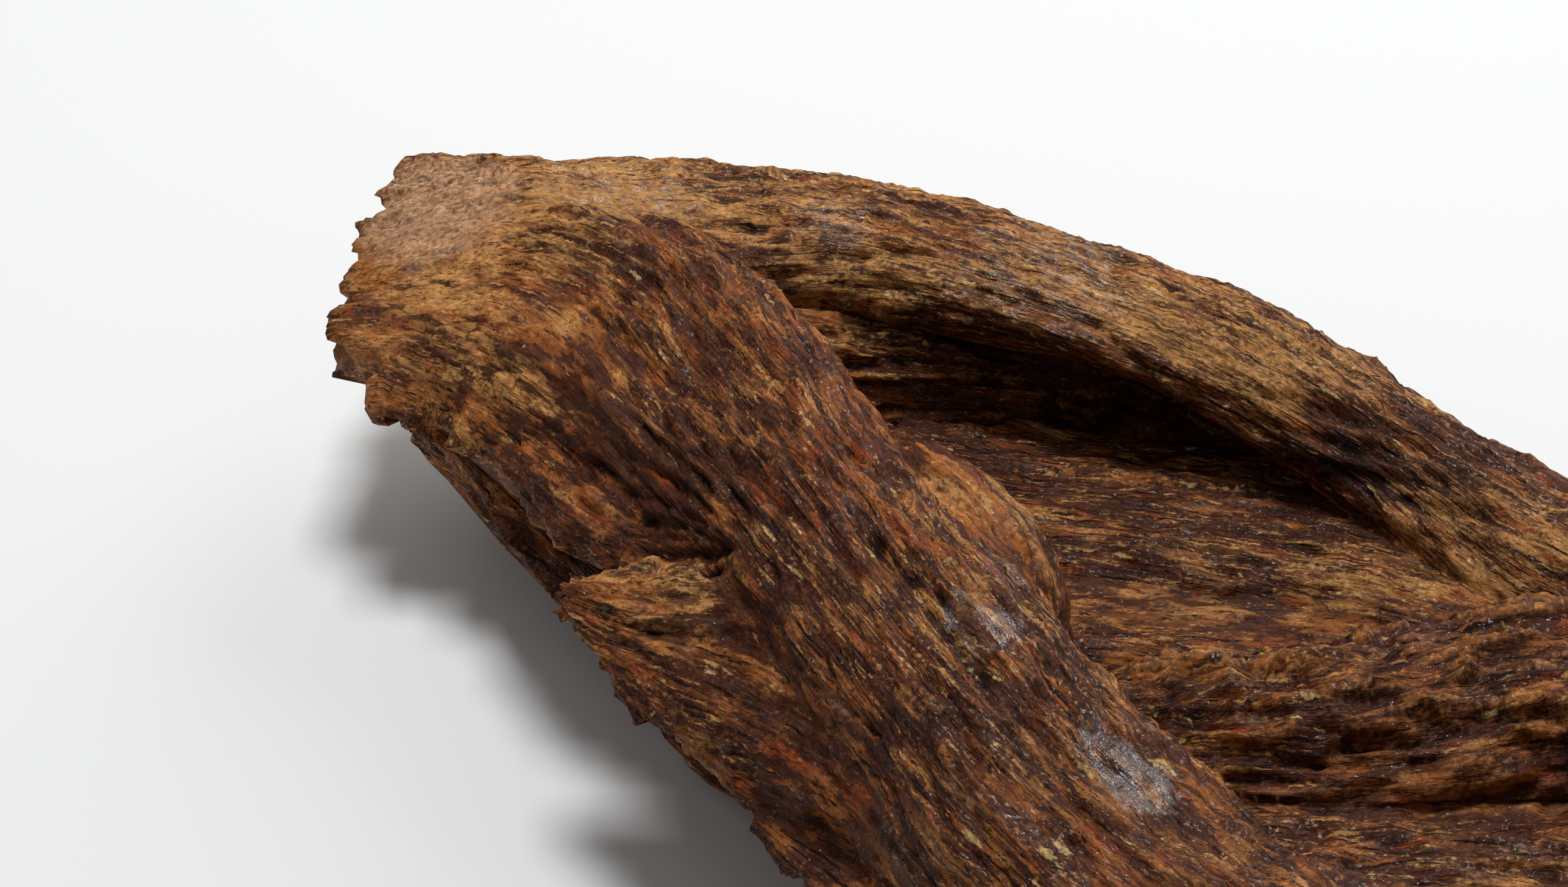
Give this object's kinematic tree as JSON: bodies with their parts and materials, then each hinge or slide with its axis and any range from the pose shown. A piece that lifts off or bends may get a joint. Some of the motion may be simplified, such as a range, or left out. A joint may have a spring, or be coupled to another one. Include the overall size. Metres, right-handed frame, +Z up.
{
  "type": "piece of agarwood",
  "caption": "Weathered fork of resinous agarwood lying flat, two arms closing round an open hollow, with torn fins along the near side.",
  "frame": {"origin": "middle of the piece's box in plan, on the surface it lies on", "axes": "+X along its length from the broken head to the stump, +Y away from the torn side, +Z up"},
  "size_m": [0.103, 0.0884, 0.0229],
  "materials": {
    "weathered_wood": "weathered, resin-streaked, partly glossy"
  },
  "bodies": {
    "root": {"agarwood": "weathered_wood"}
  },
  "joints": []
}
